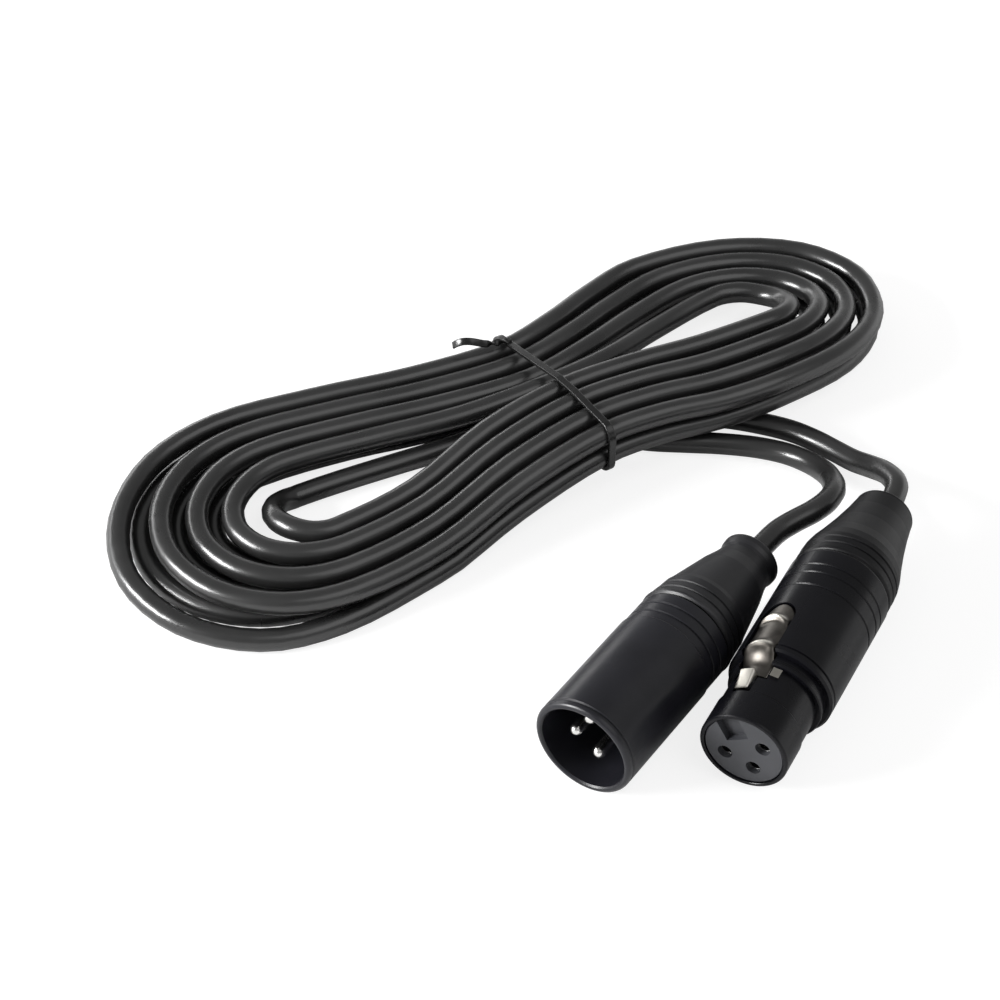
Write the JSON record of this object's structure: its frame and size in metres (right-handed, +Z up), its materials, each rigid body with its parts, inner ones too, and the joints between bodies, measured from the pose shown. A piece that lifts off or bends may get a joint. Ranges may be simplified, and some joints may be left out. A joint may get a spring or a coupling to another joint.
{
  "type": "xlr cable coil",
  "caption": "Coiled black microphone cable in a tied hank, with a male and a female three-pole XLR connector.",
  "frame": {"origin": "on the ground under the tie at the hank's waist, on the tie's underside", "axes": "+X along the hank towards its shorter lobe, +Z up"},
  "size_m": [0.173, 0.1337, 0.0195],
  "materials": {
    "cable": "satin",
    "tie": "gloss",
    "shell": "satin",
    "socket_plastic": "satin",
    "silver": "polished",
    "chuck_plastic": "matte",
    "boot": "satin",
    "gland_rubber": "matte",
    "wire_screen": "stranded",
    "wire_red": "gloss",
    "wire_white": "gloss",
    "grey_plastic": "satin",
    "nickel": "satin"
  },
  "bodies": {
    "coil": {"cable_hank": "cable", "male_lead": "cable", "female_lead": "cable", "twist_tie": "tie", "male_shell": "shell", "male_insert": "socket_plastic", "male_pin_1": "silver", "male_pin_2": "silver", "male_pin_3": "silver", "male_chuck": "chuck_plastic", "male_cable_end": "cable", "male_wire_1": "wire_screen", "male_wire_2": "wire_red", "male_wire_3": "wire_white", "female_shell": "shell", "female_insert": "grey_plastic", "female_contact_1": "silver", "female_contact_2": "silver", "female_contact_3": "silver", "latch_pin": "nickel", "latch_spring": "nickel", "ground_spring": "nickel", "female_chuck": "chuck_plastic", "female_cable_end": "cable", "female_wire_1": "wire_screen", "female_wire_2": "wire_red", "female_wire_3": "wire_white"},
    "latch": {"female_latch": "nickel"},
    "male_sleeve": {"male_gland": "gland_rubber"},
    "male_cap": {"male_boot": "boot"},
    "female_sleeve": {"female_gland": "gland_rubber"},
    "female_cap": {"female_boot": "boot"}
  },
  "joints": [
    {"name": "latch_rock", "type": "hinge", "parent": "coil", "child": "latch", "pos_m": [0.00253, -0.07589, 0.01526], "axis": [0.444, -0.7332, 0.515], "range_deg": [0, 4], "stiffness_Nm_per_rad": 0.6, "springref_deg": -1.72, "deforming": ["latch_spring"]},
    {"name": "male_cap_back", "type": "slide", "parent": "coil", "child": "male_sleeve", "axis": [0.9135, 0.4067, 0], "range_m": [0, 0.003]},
    {"name": "male_cap_turn", "type": "hinge", "parent": "male_sleeve", "child": "male_cap", "pos_m": [-0.0043, -0.0623, 0.0095], "axis": [0.9135, 0.4067, 0], "range_deg": [0, 1080]},
    {"name": "female_cap_back", "type": "slide", "parent": "coil", "child": "female_sleeve", "axis": [0.8554, 0.518, 0], "range_m": [0, 0.003]},
    {"name": "female_cap_turn", "type": "hinge", "parent": "female_sleeve", "child": "female_cap", "pos_m": [0.02268, -0.06766, 0.0096], "axis": [0.8554, 0.518, 0], "range_deg": [0, 1080]}
  ],
  "couplings": [
    {"joint": "male_cap_turn", "follows": "male_cap_back", "rad_per_m": 6283.2},
    {"joint": "female_cap_turn", "follows": "female_cap_back", "rad_per_m": 6283.2}
  ]
}
